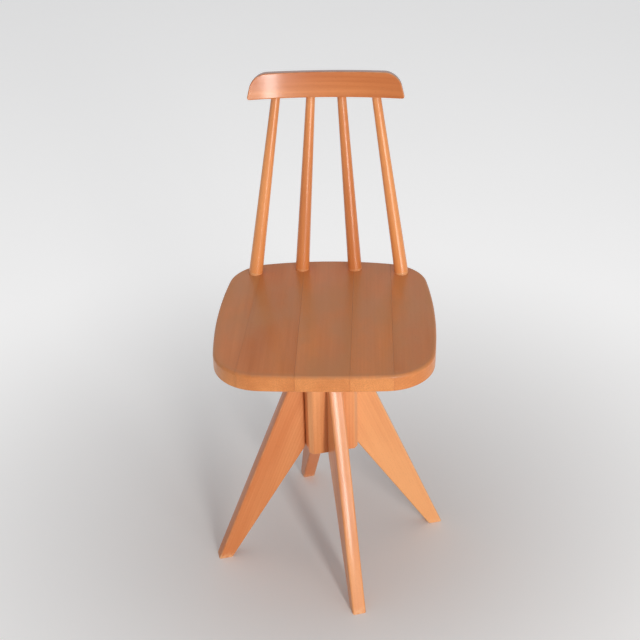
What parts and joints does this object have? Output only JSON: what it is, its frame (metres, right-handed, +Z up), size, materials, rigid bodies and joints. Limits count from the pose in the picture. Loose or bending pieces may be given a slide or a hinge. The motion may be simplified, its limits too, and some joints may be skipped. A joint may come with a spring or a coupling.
{
  "type": "swivel chair",
  "caption": "All-wood swivel chair: glued plank seat on a height screw, tapered four-leg base, spindle back with a curved crest rail.",
  "frame": {"origin": "on the floor, at the centre of the rectangle that the chair covers seen from above; the swivel axis stands 11.1 mm in front of it, at y = -0.0111 m", "axes": "+Z up; -Y is the way the seat faces, so +Y is towards the back rest; +X is to the right of someone who stands in front and looks at the seat"},
  "size_m": [0.3898, 0.412, 0.7787],
  "materials": {
    "frame_wood": "satin lacquer",
    "back_wood": "satin lacquer",
    "seat_wood": "satin lacquer",
    "dowel_wood": "bare",
    "screw_steel": "turned, oiled",
    "flange_metal": "satin black",
    "fixing_steel": "zinc plated",
    "bush_brass": "turned"
  },
  "bodies": {
    "base": {"hub_block": "frame_wood", "leg_right": "frame_wood", "leg_back": "frame_wood", "leg_left": "frame_wood", "leg_front": "frame_wood", "leg_dowels": "dowel_wood", "screw_nut": "screw_steel", "nut_screws": "fixing_steel"},
    "guide": {"guide_bush": "bush_brass"},
    "seat": {"seat_stave_1": "seat_wood", "seat_stave_2": "seat_wood", "seat_stave_3": "seat_wood", "seat_stave_4": "seat_wood", "seat_stave_5": "seat_wood", "seat_flange": "flange_metal", "flange_screws": "fixing_steel", "height_screw": "screw_steel", "stop_washer": "fixing_steel", "stop_bolt": "fixing_steel", "back_spindle_1": "back_wood", "back_spindle_2": "back_wood", "back_spindle_3": "back_wood", "back_spindle_4": "back_wood", "crest_rail": "back_wood"}
  },
  "joints": [
    {"name": "seat_rise", "type": "slide", "parent": "base", "child": "guide", "axis": [0, 0, 1], "range_m": [-0.048, 0.048]},
    {"name": "seat_swivel", "type": "hinge", "parent": "guide", "child": "seat", "pos_m": [0, -0.0111, 0.45], "axis": [0, 0, 1], "range_deg": [-2160, 2160]}
  ],
  "couplings": [
    {"joint": "seat_rise", "follows": "seat_swivel", "m_per_rad": 0.0012732}
  ]
}
